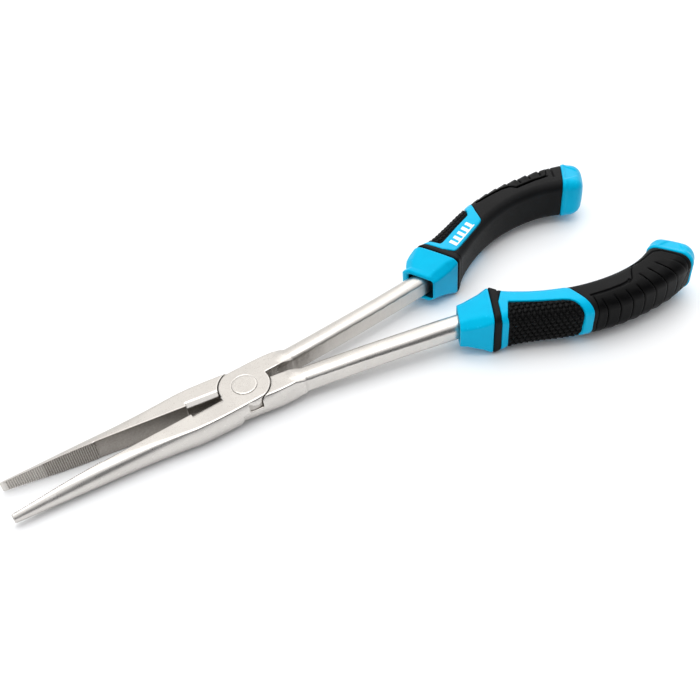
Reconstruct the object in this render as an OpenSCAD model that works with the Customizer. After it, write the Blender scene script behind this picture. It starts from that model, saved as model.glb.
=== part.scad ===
// Long-reach fishing pliers, 280 mm, half-lap joint, two-tone over-moulded grips.
// Frame: Z is the pivot axis, +X runs to the jaw tips, Z = 0 is the underside of the joint.
// Parts are drawn closed about the XZ plane with Z = 0 at mid-joint, then lifted and opened.
// "right" is the -Y handle, "left" the +Y handle, seen from the grips towards the tips.
// "inner" is towards the XZ plane, "outer" away from it.

/* [Joint] */
// thickness of the joint across both half laps
joint_t = 9.4; // [9:0.1:9.8]
// radius of the round shoulder of the upper half lap
disc_r = 9.7; // [9.3:0.1:9.9]
// radius of the round shoulder of the lower half lap
low_disc_r = 11.4; // [10.8:0.1:11.6]
// radial gap between a shoulder and the recess wall it turns in
disc_gap = 0.4; // [0.3:0.05:0.6]
// radius of the rivet shank
shank_r = 3.4; // [3:0.1:3.8]
// radius of the flush rivet heads
head_r = 4.8; // [4.5:0.1:5.4]
// angle between the levers in the resting pose, degrees
rest_open = 9.2; // [0:0.1:30]

/* [Jaws] */
// distance from the pivot to the jaw tips
jaw_len = 92; // [89:1:94]
// radius of the paired jaws, seen as one cone, at the tip
tip_r = 2.2; // [1.9:0.1:2.6]
// distance from the pivot to the start of the cutter
cut_from = 10.2; // [10:0.1:10.6]
// distance from the pivot to the end of the cutter
cut_to = 22.7; // [20:0.1:25]
// width of the cutter bevels on the top and bottom faces
bevel_w = 2.3; // [1.6:0.1:2.8]
// distance from the pivot to the first gripping tooth
teeth_from = 56; // [50:1:62]
// pitch of the gripping teeth
tooth_pitch = 0.8; // [0.7:0.05:1.2]
// depth of the gripping teeth
tooth_depth = 0.3; // [0.2:0.05:0.4]
// depth of the plain relief between cutter and teeth
relief = 0.4; // [0.2:0.1:0.8]

/* [Handle rods] */
// radius of the forged handle rod
rod_r = 4.5; // [4.2:0.1:4.6]
// distance from the rod's centre to its trimmed inner flat
rod_in = 3.6; // [3.2:0.1:4]
// half width of the flat tang hidden in the grip
tang_w = 2.6; // [2.2:0.1:2.8]
// half height of the tang
tang_h = 3; // [2.6:0.1:3.2]
// how much nearer to the middle the right handle is set, degrees
handle_set = 0.75; // [0:0.05:1]

/* [Grips] */
// extra half width added all along the grip
grip_fat = 0; // [0:0.1:0.6]
// extra half height added all along the grip
grip_tall = 0; // [0:0.1:0.6]
// how far the coloured frame stands proud of the grip
frame_proud = 0.25; // [0.1:0.05:0.4]
// wall of the frame, pad and rib inlays
inlay_t = 1.5; // [1.2:0.1:1.6]
// number of ribs on the finger pad
rib_count = 9; // [6:1:11]
// depth of each rib step
rib_step = 0.8; // [0.5:0.05:1]
// length of the end cap
cap_len = 9.9; // [9.2:0.1:10.6]

/* [Hidden] */
$fn = 96;
half_t = joint_t / 2;        // half thickness of the joint
half_open = rest_open / 2;   // each lever's own turn
seam = 0.02;                 // half gap between the closed jaw faces
lap_gap = 0.03;              // half gap between the two half laps
run = 0.05;                  // running clearance of the rivet in the left lever
sit = 0.02;                  // clearance between pieces fixed to each other
over = 1;                    // overshoot of cutting shapes

steel = [0.8, 0.78, 0.76];
blue = [0.05, 0.7, 0.93];
black = [0.12, 0.12, 0.13];
core_grey = [0.3, 0.3, 0.32];
pad_grey = [0.16, 0.16, 0.17];
rib_black = [0.09, 0.09, 0.1];

// ---------------------------------------------------------------- grip sections

// stations along the left grip:
// x, y, heading in degrees, half width, half height, inner corner radius, outer corner radius
stations = [
  [ -99.8, 11.5,  23, 10.3, 9.8, 2.0, 2.2],
  [-102.9, 12.8,  23,  9.3, 9.3, 3.0, 3.2],
  [-108.0, 15.0,  23,  8.4, 8.8, 3.6, 4.4],
  [-117.0, 18.9,  22,  7.7, 8.6, 3.7, 4.8],
  [-128.0, 23.0,  17,  7.5, 8.8, 3.7, 5.2],
  [-138.5, 25.6,   9,  7.5, 9.1, 3.7, 5.4],
  [-150.0, 26.6,  -1,  7.5, 9.3, 3.7, 5.4],
  [-161.0, 25.9, -12,  7.7, 9.3, 3.7, 5.2],
  [-170.0, 24.2, -25,  8.3, 9.4, 3.7, 5.2],
  [-178.4, 21.3, -38,  9.2, 9.6, 3.7, 5.8]
];
last = len(stations) - 1;
corner_steps = 5;            // steps round each corner of a section
min_corner = 0.4;            // smallest corner radius of a section
crown = 0.04;                // share of the height lost at the edges of top and bottom

// A place along the grip is a station number, with fractions between stations.
function station(i) = stations[max(0, min(last, i))];
function spline(a, b, c, d, t) = 0.5 * (
  2 * b + (c - a) * t
  + (2 * a - 5 * b + 4 * c - d) * t * t
  + (3 * b - a - 3 * c + d) * t * t * t);
function row_at(place) =
  let (i = min(last - 1, floor(place)))
  spline(station(i - 1), station(i), station(i + 1), station(i + 2), place - i)
  + [0, 0, 0, grip_fat, grip_tall, 0, 0];
function rows(from, to, count) = [for (i = [0 : count]) row_at(from + (to - from) * i / count)];

// the point a given distance outwards from a row's centre
function beside(row, dist) = [row[0] + dist * sin(row[2]), row[1] + dist * cos(row[2])];

function corner(x, y, radius, start) =
  [for (i = [0 : corner_steps]) let (angle = start + 90 * i / corner_steps)
    [x + radius * cos(angle), y + radius * sin(angle)]];
function section(half_w, half_h, inner, outer) = concat(
  corner(half_w - outer, half_h - outer, outer, 0),
  corner(inner - half_w, half_h - inner, inner, 90),
  corner(inner - half_w, inner - half_h, inner, 180),
  corner(half_w - outer, outer - half_h, outer, 270));

// one section placed in space, grown all round, with a slightly crowned top and bottom
function ring(row, grow = 0) =
  let (
    half_w = row[3] + grow,
    half_h = row[4] + grow,
    inner = max(min_corner, row[5] + grow),
    outer = max(min_corner, row[6] + grow)
  )
  [for (p = section(half_w, half_h, inner, outer))
    concat(beside(row, p[0]), [p[1] * (1 - crown * p[0] * p[0] / (half_w * half_w))])];

// a closed skin through a list of rings with equal point counts
module skin(rings) {
  count = len(rings[0]);
  top = (len(rings) - 1) * count;
  first_end = [for (i = [count - 1 : -1 : 0]) i];
  last_end = [for (i = [0 : count - 1]) top + i];
  walls = [for (k = [0 : len(rings) - 2]) for (i = [0 : count - 1])
    let (near = k * count, far = near + count, next = (i + 1) % count)
    each [[near + i, far + next, far + i], [near + i, near + next, far + next]]];
  polyhedron([for (r = rings) each r], concat([first_end], [last_end], walls), convexity = 4);
}

module loft(row_list, grow = 0) skin([for (row = row_list) ring(row, grow)]);

// a flat bar of constant half width and half height along the rows
module bar(row_list, half_w, half_h)
  translate([0, 0, -half_h])
    linear_extrude(2 * half_h)
      polygon(concat(
        [for (row = row_list) beside(row, half_w)],
        [for (i = [len(row_list) - 1 : -1 : 0]) beside(row_list[i], -half_w)]));

// ---------------------------------------------------------------- levers

lap_from = 3.5;              // distance from the pivot to the start of jaw and shoulder
blank_w = 12;                // half width of the blank that the turned body trims
edge_h = 0.15;               // half height of the cutting edge
edge_w = 0.05;               // distance of the cutting edge back from the jaw face
tip_plain = 1.5;             // least toothless length at the tip
head_flat = 0.4;             // straight part of a rivet head
head_depth = 1.9;            // full depth of a rivet head, with its cone

// half profile of the jaws and joint as one turned body: radius, x
nose_profile = [
  [0, -24], [8.9, -24], [9.1, -20], [9.7, -15.5], [10.1, -11], [10.15, -6], [10.15, 12],
  [9.9, 18], [9.45, 24], [8.5, 30], [7.75, 35], [7.05, 40], [5.95, 50], [5.05, 60],
  [4.15, 70], [3.2, 80],
  [tip_r + 0.1, jaw_len - 1.4], [tip_r - 0.25, jaw_len - 0.4], [tip_r - 0.7, jaw_len],
  [0, jaw_len]
];

// shoulder seen from above: x, y
shoulder_plan = [
  [-lap_from, -blank_w], [-lap_from, -0.9], [-19.2, -0.9], [-21.5, -1.4], [-21.5, -blank_w]
];
// shoulder seen from the side, thinning to the rod: x, z
thin_from = -17.5;
thin_to = -21.4;
thin_h = rod_r - 0.7;
shoulder_side = [
  [0, -half_t], [0, half_t], [thin_from, half_t],
  [thin_to, thin_h], [thin_to, -thin_h], [thin_from, -half_t]
];

module nose() rotate([0, 90, 0]) rotate_extrude() polygon(nose_profile);

// a plan outline through the thickness of the joint
module plate(outline) translate([0, 0, -half_t]) linear_extrude(joint_t) polygon(outline);

// cutter bevel above the cutting edge
module bevel()
  translate([cut_from, 0, 0])
    rotate([90, 0, 90])
      linear_extrude(cut_to - cut_from)
        polygon([
          [-over, edge_h], [seam + edge_w, edge_h], [seam + bevel_w, half_t],
          [seam + bevel_w, half_t + over], [-over, half_t + over]
        ]);

// jaw on +Y, with cutter, relief and teeth along its inner face
module jaw() {
  tooth_count = floor((jaw_len - tip_plain - teeth_from) / tooth_pitch);
  teeth_to = teeth_from + tooth_count * tooth_pitch;
  teeth = [for (i = [0 : tooth_count - 1]) each [
    [teeth_from + i * tooth_pitch, seam + (i == 0 ? relief : tooth_depth)],
    [teeth_from + (i + 0.5) * tooth_pitch, seam]
  ]];
  difference() {
    intersection() {
      nose();
      plate(concat(
        [[lap_from, blank_w], [lap_from, seam], [cut_to, seam], [cut_to, seam + relief]],
        teeth,
        [[teeth_to, seam + tooth_depth], [teeth_to, seam]],
        [[jaw_len + over, seam], [jaw_len + over, blank_w]]));
    }
    for (below = [0, 1]) mirror([0, 0, below]) bevel();
  }
}

// flat shoulder between the joint and the handle rod, on -Y
module shoulder() intersection() {
  nose();
  plate(shoulder_plan);
  rotate([90, 0, 0]) linear_extrude(14) polygon(shoulder_side);
}

bow_start = [-13, -4.3, 0];  // centre of the rod's end inside the shoulder
bow_r = 1300;                // radius of the rod's gentle bow
bow_tilt = 1.5;              // slope of the rod at its start, degrees
bow_angle = 3.5;             // length of the bow, degrees
rod_room = 6;                // half size of the square that trims the rod

// sweeps a rod section along the bow, its +X side facing inwards
module bow()
  translate(bow_start)
    rotate([0, 0, bow_tilt])
      translate([0, -bow_r, 0])
        rotate([0, 0, 90])
          rotate_extrude(angle = bow_angle, $fn = 1440)
            translate([bow_r, 0]) children();

// rod from the shoulder into the collar, trimmed flat on its inner side
module rod() intersection() {
  bow() circle(r = rod_r, $fn = 64);
  bow() translate([-rod_room, -rod_room]) square([rod_room + rod_in, 2 * rod_room]);
}

// two rows (x, y, heading) lead the tang from the rod into the grip
tang_rows = [
  [-88, 8.5, 10],
  [-94, 9.9, 18],
  each [for (place = [0.4 : 0.6 : 8.2]) row_at(place)]
];

// rivet hole, countersunk for the flush head
module rivet_hole(play) {
  translate([0, 0, -over]) cylinder(r = shank_r + play, h = half_t + 2 * over);
  translate([0, 0, half_t - head_depth])
    cylinder(r1 = shank_r + play, r2 = head_r + play, h = head_depth - head_flat);
  translate([0, 0, half_t - head_flat]) cylinder(r = head_r + play, h = over);
}

// one forging, jaw on +Y, handle on -Y, carrying the upper half lap
module forging(lap_r, recess_r, play, set) difference() {
  union() {
    difference() {
      union() {
        jaw();
        shoulder();
      }
      translate([0, 0, -half_t - over]) cylinder(r = recess_r, h = half_t + over + lap_gap);
    }
    intersection() {
      nose();
      translate([0, 0, lap_gap]) cylinder(r = lap_r, h = half_t - lap_gap);
    }
    rotate([0, 0, -set]) {
      rod();
      mirror([0, 1, 0]) bar(tang_rows, tang_w, tang_h);
    }
  }
  rivet_hole(play);
}

module at_right() translate([0, 0, half_t]) rotate([0, 0, half_open]) children();
module at_left() translate([0, 0, half_t]) rotate([0, 0, -half_open]) children();

module lever_right() color(steel) at_right()
  forging(disc_r, low_disc_r + disc_gap, sit, handle_set);
// the same forging turned over, so that it carries the lower half lap
module lever_left() color(steel) at_left()
  rotate([180, 0, 0]) forging(low_disc_r, disc_r + disc_gap, run, 0);

module pivot_rivet() color([0.84, 0.82, 0.8]) at_right() rotate_extrude() polygon([
  [0, -half_t], [head_r, -half_t], [head_r, head_flat - half_t], [shank_r, head_depth - half_t],
  [shank_r, half_t - head_depth], [head_r, half_t - head_flat], [head_r, half_t], [0, half_t]
]);

// ---------------------------------------------------------------- grips, drawn on +Y

// plan outlines of the inlays: x, y
frame_area = [
  [-106.9, 7.6], [-102.6, 12.2], [-98.2, 21.0], [-97.6, 42], [-134.8, 42], [-134.2, 34],
  [-133.5, 31.4], [-132.2, 28], [-131.2, 23.5], [-130.2, 19.4], [-129.0, 17.3],
  [-127.4, 16.3], [-118.9, 12.9], [-109.6, 8.7]
];
pad_area = [
  [-106.4, 14.5], [-105.6, 14.4], [-101.9, 20.6], [-101.2, 44], [-130.6, 44], [-130.4, 33],
  [-129.9, 31], [-128.9, 28.6], [-127.8, 26.2], [-126.6, 24.6], [-125.0, 23.6],
  [-114.5, 18.6], [-108, 15.5]
];
rib_area = [
  [-135.8, 27.6], [-143.5, 28.5], [-149.2, 28.7], [-152.8, 28.3], [-154.8, 27.0],
  [-157.6, 22.8], [-159.8, 20.6], [-164.0, 20.4], [-172.0, 18.2], [-174.8, 19.4],
  [-178.5, 24.5], [-181.4, 29.2], [-185, 42], [-135.6, 42]
];

// stretches of grip under the panel and under the ribs, shared by the pockets and their inlays
panel_rows = rows(0.2, 5.7, 12);
rib_rows = rows(4.4, last, 12);
frame_rows = rows(0.3, 5.6, 12);

core_from = 0.25;            // first place of the core
core_pitch = 0.55;           // step between places of the core
core_w = 4;                  // half width of the core
core_h = 4.8;                // half height of the core
core_rows = [for (place = [core_from : core_pitch : 8.5]) row_at(place)];
core_to = core_from + core_pitch * (len(core_rows) - 1);
core_slack = 0.02;           // extra room at each end of the core, in stations

area_h = 30;                 // height that clears the whole grip
module through() translate([0, 0, -area_h / 2]) linear_extrude(area_h) children();
// an inlay's outline, drawn in by its fitting clearance
module inlay_area(area) through() offset(delta = -sit) polygon(area);

module tang_room() bar(concat(tang_rows, [row_at(8.3)]), tang_w + sit, tang_h + sit);

module pocket(area, row_list) difference() {
  through() polygon(area);
  loft(row_list, -inlay_t - sit);
}

module grip_core() difference() {
  bar(core_rows, core_w, core_h);
  tang_room();
}

module grip_body() difference() {
  loft(rows(0.02, last, 27));
  bar(
    concat([row_at(core_from - core_slack)], core_rows, [row_at(core_to + core_slack)]),
    core_w + sit, core_h + sit);
  tang_room();
  pocket(frame_area, panel_rows);
  pocket(rib_area, rib_rows);
}

module panel_frame() difference() {
  intersection() {
    difference() {
      loft(frame_rows, frame_proud);
      loft(panel_rows, -inlay_t);
    }
    inlay_area(frame_area);
  }
  through() polygon(pad_area);
}

bump_rows = 40;              // steps of bumps along the pad
bump_low = -0.05;            // skin of the pad, from the grip surface
bump_high = 0.5;             // top of the bumps, from the grip surface

// extra points on the long flats of a section, so that bumps come at an even pitch
function dense(points) = [for (k = [0 : len(points) - 1])
  let (
    from = points[k],
    to = points[(k + 1) % len(points)],
    parts = k % (corner_steps + 1) == corner_steps ? 3 : 1
  )
  each [for (j = [0 : parts - 1]) from + (to - from) * j / parts]];
// every other point raised, staggered from ring to ring
function bumpy(low, high, i) = [for (k = [0 : len(low) - 1]) (k + i) % 2 == 0 ? low[k] : high[k]];

// moulded pad with staggered bumps standing up from its skin
module grip_pad() intersection() {
  difference() {
    skin([for (i = [0 : bump_rows]) let (row = row_at(0.5 + 5 * i / bump_rows))
      bumpy(dense(ring(row, bump_low)), dense(ring(row, bump_high)), i)]);
    loft(panel_rows, -inlay_t);
  }
  inlay_area(pad_area);
}

// finger pad of overlapping ribs, each rising towards the cap and then stepping down
module rib_pad() {
  from = 4.85;
  pitch = (last - from) / rib_count;
  intersection() {
    difference() {
      skin([for (i = [0 : rib_count - 1]) let (place = from + pitch * i) each [
        ring(row_at(place), 0.2 - rib_step),
        ring(row_at(place + pitch * 0.55), 0.1),
        ring(row_at(place + pitch * 0.985), 0.25)
      ]]);
      loft(rib_rows, -inlay_t);
    }
    inlay_area(rib_area);
  }
}

collar_heading = stations[0][2];
collar_x = -87.2;            // x of the collar's mouth
collar_drift = 0.107;        // inward drift of the collar per length
// distance from the mouth, shift outwards, then half width, half height and corner radii
collar_sections = [
  [ 0.0, 0.45, [ 7.10, 6.30, 2.4, 2.4]],
  [ 0.5, 0.65, [ 7.65, 6.80, 2.6, 2.6]],
  [ 1.5, 0.65, [ 7.75, 6.85, 2.6, 2.6]],
  [ 2.6, 0.45, [ 7.60, 6.70, 2.8, 2.8]],
  [ 4.2, 0.75, [ 8.30, 7.10, 2.8, 2.8]],
  [ 6.5, 1.00, [ 9.20, 7.90, 2.8, 2.8]],
  [ 9.0, 0.75, [ 9.85, 8.70, 2.6, 2.6]],
  [12.2, 0.20, [10.30, 9.80, 2.0, 2.2]],
  [13.0, 0.10, [10.30, 9.80, 2.0, 2.2]]
];
function collar_row(dist, shift, size) =
  let (
    x = collar_x - dist * cos(collar_heading),
    y = 7.65 + dist * sin(collar_heading)
  )
  concat(beside([x, y, collar_heading], shift - collar_drift * dist), [collar_heading], size);

module collar() difference() {
  loft([for (c = collar_sections) collar_row(c[0], c[1], c[2])]);
  // mouth that clears the rod
  translate([collar_x, 7.3, 0])
    rotate([0, 0, 180 - collar_heading])
      translate([-3, -6.2, -4.8]) cube([10, 11.8, 9.6]);
  tang_room();
}

end = stations[last];
cap_way = [-0.788, -0.616];  // direction out through the end cap
// distance from the last station, growth of the section
cap_sections = [
  [0, 0.15], [0.9, 0.4], [3.6, 0.2], [6.2, -0.6], [8.0, -1.9],
  [cap_len - 0.7, -3.4], [cap_len, -5.4]
];
cap_rows = [for (c = cap_sections) let (dist = c[0] + sit, grow = c[1]) [
  end[0] + cap_way[0] * dist,
  end[1] + cap_way[1] * dist,
  end[2],
  end[3] + grow + grip_fat,
  end[4] + grow + grip_tall,
  max(1.2, 4.0 + grow * 0.3),
  max(1.2, end[6] + grow * 0.4)
]];

module end_cap() difference() {
  loft(cap_rows);
  // three-lobed recess in the top face
  translate([end[0], end[1], 9.4])
    rotate([0, 0, 37.9])
      translate([-3.9, 0, 0])
        linear_extrude(4)
          polygon([for (lobe = [0 : 120 : 240]) for (turn = [-60 : 30 : 60])
            [2.1 * cos(lobe), 2.6 * sin(lobe)] + 0.9 * [cos(lobe + turn), sin(lobe + turn)]]);
}

// raised mark on the frame: slanted bars on a thin base line, flat on top
module grip_mark() {
  bars = 5;
  pitch = 3.5;
  bar_w = 2;
  bar_len = 3.4;
  slant = 0.6;
  line_w = 0.6;
  line_len = (bars - 1) * pitch + bar_w + slant;
  difference() {
    translate([-108.6, 10.6, 8])
      rotate([0, 0, 180 - 23.5])
        linear_extrude(1.42)
          polygon(concat(
            [[0, line_w], [line_len, line_w], [line_len, 0]],
            [for (i = [bars - 1 : -1 : 0]) let (x = i * pitch) each [
              [x + bar_w, 0], [x + bar_w + slant, -bar_len], [x + slant, -bar_len], [x, 0]
            ]]));
    loft(frame_rows, frame_proud + sit);
  }
}

// ---------------------------------------------------------------- grip nodes

module left() at_left() children();
module right() at_right() rotate([0, 0, -handle_set]) mirror([0, 1, 0]) children();

module left_collar() color(blue) left() collar();
module left_grip_core() color(core_grey) left() grip_core();
module left_grip_body() color(black) left() grip_body();
module left_panel_frame() color(blue) left() panel_frame();
module left_textured_pad() color(pad_grey) left() grip_pad();
module left_rib_pad() color(rib_black) left() rib_pad();
module left_end_cap() color(blue) left() end_cap();
module right_collar() color(blue) right() collar();
module right_grip_core() color(core_grey) right() grip_core();
module right_grip_body() color(black) right() grip_body();
module right_panel_frame() color(blue) right() panel_frame();
module right_textured_pad() color(pad_grey) right() grip_pad();
module right_rib_pad() color(rib_black) right() rib_pad();
module right_end_cap() color(blue) right() end_cap();
module right_grip_mark() color([0.95, 0.96, 0.97]) right() grip_mark();

lever_right();
lever_left();
pivot_rivet();
right_collar();
right_grip_core();
right_grip_body();
right_panel_frame();
right_textured_pad();
right_rib_pad();
right_end_cap();
right_grip_mark();
left_collar();
left_grip_core();
left_grip_body();
left_panel_frame();
left_textured_pad();
left_rib_pad();
left_end_cap();
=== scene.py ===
"""Long-nose pliers, slightly open, lying on a pale floor.

Shapes are in mm and become metres when a mesh is made. The pivot rivet's axis is Z through
the origin, the jaws point to +X and the grips to -X. The right half has its jaw on +Y and its
grip on -Y; the left half has them the other way round.
Most pieces are skins of distance fields, negative inside the material.
"""
import math

import bpy
import numpy as np
from mathutils import Matrix, Vector


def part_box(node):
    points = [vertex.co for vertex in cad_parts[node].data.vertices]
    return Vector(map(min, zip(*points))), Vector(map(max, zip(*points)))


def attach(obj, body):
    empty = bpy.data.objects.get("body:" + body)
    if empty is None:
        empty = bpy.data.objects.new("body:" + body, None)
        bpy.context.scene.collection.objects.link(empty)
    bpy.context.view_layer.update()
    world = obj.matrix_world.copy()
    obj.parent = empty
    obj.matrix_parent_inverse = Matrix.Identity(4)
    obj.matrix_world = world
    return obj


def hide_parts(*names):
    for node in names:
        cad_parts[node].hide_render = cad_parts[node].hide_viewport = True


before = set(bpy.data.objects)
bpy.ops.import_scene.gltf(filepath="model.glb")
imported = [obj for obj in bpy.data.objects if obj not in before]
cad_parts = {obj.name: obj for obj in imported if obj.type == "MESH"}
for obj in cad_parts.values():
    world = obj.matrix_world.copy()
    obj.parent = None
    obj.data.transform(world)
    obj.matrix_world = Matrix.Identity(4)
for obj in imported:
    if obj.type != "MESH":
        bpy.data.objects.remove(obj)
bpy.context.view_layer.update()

MM = 0.001
COARSE = 1.0

# the rivet gives the joint's thickness and centre height
RIVET_LOW, RIVET_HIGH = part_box("pivot_rivet")
HALF_THICK = (RIVET_HIGH[2] - RIVET_LOW[2]) / 2 / MM
MID_Z = (RIVET_HIGH[2] + RIVET_LOW[2]) / 2 / MM
HEAD_R = (RIVET_HIGH[0] - RIVET_LOW[0]) / 2 / MM
HOLE_R = 3.4

HALF_OPEN = math.radians(4.6)
SET = math.radians(0.75)  # extra swing of the right rod and grip towards the middle
UPRIGHT = np.array([1, 1, 1])
FLIPPED = np.array([1, -1, -1])  # half a turn about X
GRIP_POSES = {"left": (-HALF_OPEN, UPRIGHT), "right": (HALF_OPEN - SET, FLIPPED)}


# ---------------------------------------------------------------- field tools
def skin(field, x, y, z, pulls=3, probe=0.03):
    """Closed quad skin of field = 0 on a rectilinear grid, one vertex per crossed cell."""
    axes = (x, y, z)
    values = np.broadcast_to(field(x[:, None, None], y[None, :, None], z[None, None, :]),
                             (len(x), len(y), len(z)))
    inside = values < 0
    corners = list(np.ndindex(2, 2, 2))
    count = np.zeros((len(x) - 1, len(y) - 1, len(z) - 1), np.int8)
    for i, j, k in corners:
        count += inside[i:len(x) - 1 + i, j:len(y) - 1 + j, k:len(z) - 1 + k]
    crossed = (count > 0) & (count < 8)
    cells = np.argwhere(crossed)
    index = np.full(crossed.shape, -1, np.int64)
    index[crossed] = np.arange(len(cells))

    def grid_points(nodes):
        return np.stack([axes[c][nodes[:, c]] for c in range(3)], 1)

    # each vertex starts at the mean of its cell's edge crossings
    points = np.zeros((len(cells), 3))
    hits = np.zeros(len(cells))
    for corner in corners:
        for axis in range(3):
            if corner[axis]:
                continue
            start = cells + np.array(corner)
            end = start.copy()
            end[:, axis] += 1
            value_0, value_1 = values[tuple(start.T)], values[tuple(end.T)]
            cut = (value_0 < 0) != (value_1 < 0)
            share = np.where(cut, value_0 / np.where(cut, value_0 - value_1, 1.0), 0.0)
            point_0, point_1 = grid_points(start), grid_points(end)
            points += np.where(cut[:, None], point_0 + (point_1 - point_0) * share[:, None], 0.0)
            hits += cut
    points /= hits[:, None]

    # then it is pulled onto the surface, within its cell
    low, high = grid_points(cells), grid_points(cells + 1)
    for _ in range(pulls):
        value = field(*points.T)
        slope = np.stack([field(*(points + step).T) - field(*(points - step).T)
                          for step in probe * np.eye(3)], 1) / (2 * probe)
        steepness = np.maximum((slope * slope).sum(1), 0.25)
        points = points - 0.8 * (value / steepness)[:, None] * slope
        points = np.clip(points, low, high)

    # one quad round each grid edge that passes through the surface
    faces = []
    for axis in range(3):
        near_part, far_part = [slice(1, -1)] * 3, [slice(1, -1)] * 3
        near_part[axis], far_part[axis] = slice(0, -1), slice(1, None)
        near, far = inside[tuple(near_part)], inside[tuple(far_part)]
        side_0, side_1 = (axis + 1) % 3, (axis + 2) % 3
        for leaving in (False, True):
            edges = np.argwhere((near & ~far) if leaving else (~near & far))
            edges[:, [side_0, side_1]] += 1
            ring = []
            for offset_0, offset_1 in ((0, 0), (-1, 0), (-1, -1), (0, -1)):
                cell = edges.copy()
                cell[:, side_0] += offset_0
                cell[:, side_1] += offset_1
                ring.append(index[tuple(cell.T)])
            quads = np.stack(ring, 1)
            faces.append(quads if leaving else quads[:, ::-1])
    return points, np.concatenate(faces)


def soft_max(a, b, reach):
    overlap = np.maximum(reach - np.abs(a - b), 0.0) / reach
    return np.maximum(a, b) + overlap * overlap * reach * 0.25


def soft_min(a, b, reach):
    return -soft_max(-a, -b, reach)


def ramp(distance, length):
    """0 up to distance 0, then rising to 1 over the length."""
    return np.clip(distance / length, 0, 1)


def hump(offset, width):
    return np.exp(-(offset / width) ** 2)


def spans(*parts):
    runs = [np.array([parts[0][0]])]
    for start, end, spacing in parts:
        steps = int(math.ceil((end - start) / (spacing * COARSE)))
        runs.append(np.linspace(start, end, max(2, steps + 1))[1:])
    return np.concatenate(runs)


def outline_distance(x, y, outline):
    """Signed distance to a closed plan outline, negative inside."""
    x, y = np.broadcast_arrays(x, y)
    square = np.full(x.shape, 1e18)
    sign = np.ones(x.shape)
    for i, (x_0, y_0) in enumerate(outline):
        x_1, y_1 = outline[i - 1]
        edge_x, edge_y = x_1 - x_0, y_1 - y_0
        off_x, off_y = x - x_0, y - y_0
        share = np.clip((off_x * edge_x + off_y * edge_y)
                        / (edge_x * edge_x + edge_y * edge_y), 0, 1)
        gap_x, gap_y = off_x - edge_x * share, off_y - edge_y * share
        square = np.minimum(square, gap_x * gap_x + gap_y * gap_y)
        above, below, left = y >= y_0, y < y_1, edge_x * off_y > edge_y * off_x
        sign = np.where((above & below & left) | (~above & ~below & ~left), -sign, sign)
    return sign * np.sqrt(square)


def line_distance(x, y, line):
    """Distance to an open plan polyline."""
    nearest = np.inf
    for (x_0, y_0), (x_1, y_1) in zip(line[:-1], line[1:]):
        edge_x, edge_y = x_1 - x_0, y_1 - y_0
        share = np.clip(((x - x_0) * edge_x + (y - y_0) * edge_y)
                        / (edge_x * edge_x + edge_y * edge_y), 0, 1)
        gap = np.hypot(x - x_0 - edge_x * share, y - y_0 - edge_y * share)
        nearest = np.minimum(nearest, gap)
    return nearest


def rounded_box(across, z, half_width, half_height, radius):
    over_x = np.abs(across) - (half_width - radius)
    over_z = np.abs(z) - (half_height - radius)
    return (np.hypot(np.maximum(over_x, 0), np.maximum(over_z, 0))
            + np.minimum(np.maximum(over_x, over_z), 0) - radius)


def lumps(x, y, z):
    """Cheap seedless lumpiness in -1..1."""
    return (np.sin(1.9 * x + 1.3 * np.sin(2.3 * y + 0.7)) * np.sin(2.1 * y + 1.7 * np.sin(1.4 * z))
            + 0.6 * np.sin(4.3 * x + 2.0 * z + 1.1) * np.sin(3.7 * z - 2.9 * y)) / 1.6


# ---------------------------------------------------------------- mesh tools
pieces = []


def turn(verts, angle, flip=UPRIGHT):
    """Flip, turn about the rivet, and lift to the joint's centre height."""
    x, y, z = (verts * flip).T
    cos, sin = math.cos(angle), math.sin(angle)
    return np.stack([cos * x - sin * y, sin * x + cos * y, z + MID_Z], 1)


def tube_faces(rings, count):
    """Triangles between successive rings of `count` vertices."""
    faces = []
    for k in range(rings - 1):
        for i in range(count):
            j = (i + 1) % count
            near_i, near_j = k * count + i, k * count + j
            faces += [[near_i, near_j, near_j + count], [near_i, near_j + count, near_i + count]]
    return faces


def add_piece(name, verts, faces, material, body, node, dull_and_shade=None):
    """A smooth mesh riding on a body in place of a CAD node, with an optional value per vertex for
    a duller finish and painted shade.
    """
    mesh = bpy.data.meshes.new(name)
    mesh.vertices.add(len(verts))
    mesh.vertices.foreach_set("co", (verts * MM).astype(np.float32).ravel())
    mesh.loops.add(faces.size)
    mesh.loops.foreach_set("vertex_index", faces.astype(np.int32).ravel())
    count, sides = faces.shape
    mesh.polygons.add(count)
    mesh.polygons.foreach_set("loop_start", np.arange(0, faces.size, sides, dtype=np.int32))
    mesh.polygons.foreach_set("loop_total", np.full(count, sides, np.int32))
    mesh.polygons.foreach_set("use_smooth", np.ones(count, bool))
    mesh.update(calc_edges=True)
    mesh.validate()
    if dull_and_shade is not None:
        attribute = mesh.attributes.new("dull_and_shade", "FLOAT", "POINT")
        attribute.data.foreach_set("value", dull_and_shade.astype(np.float32))
    mesh.materials.append(material)
    piece = bpy.data.objects.new(name, mesh)
    bpy.context.scene.collection.objects.link(piece)
    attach(piece, body)
    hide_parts(node)
    pieces.append(piece)


# ---------------------------------------------------------------- materials
def add_node(tree, kind, inputs, **settings):
    """A shader node with its settings, its inputs linked to sockets or set to values."""
    node = tree.nodes.new(kind)
    for key, value in settings.items():
        setattr(node, key, value)
    for key, value in inputs.items():
        if isinstance(value, bpy.types.NodeSocket):
            tree.links.new(value, node.inputs[key])
        else:
            node.inputs[key].default_value = value
    return node


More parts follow.
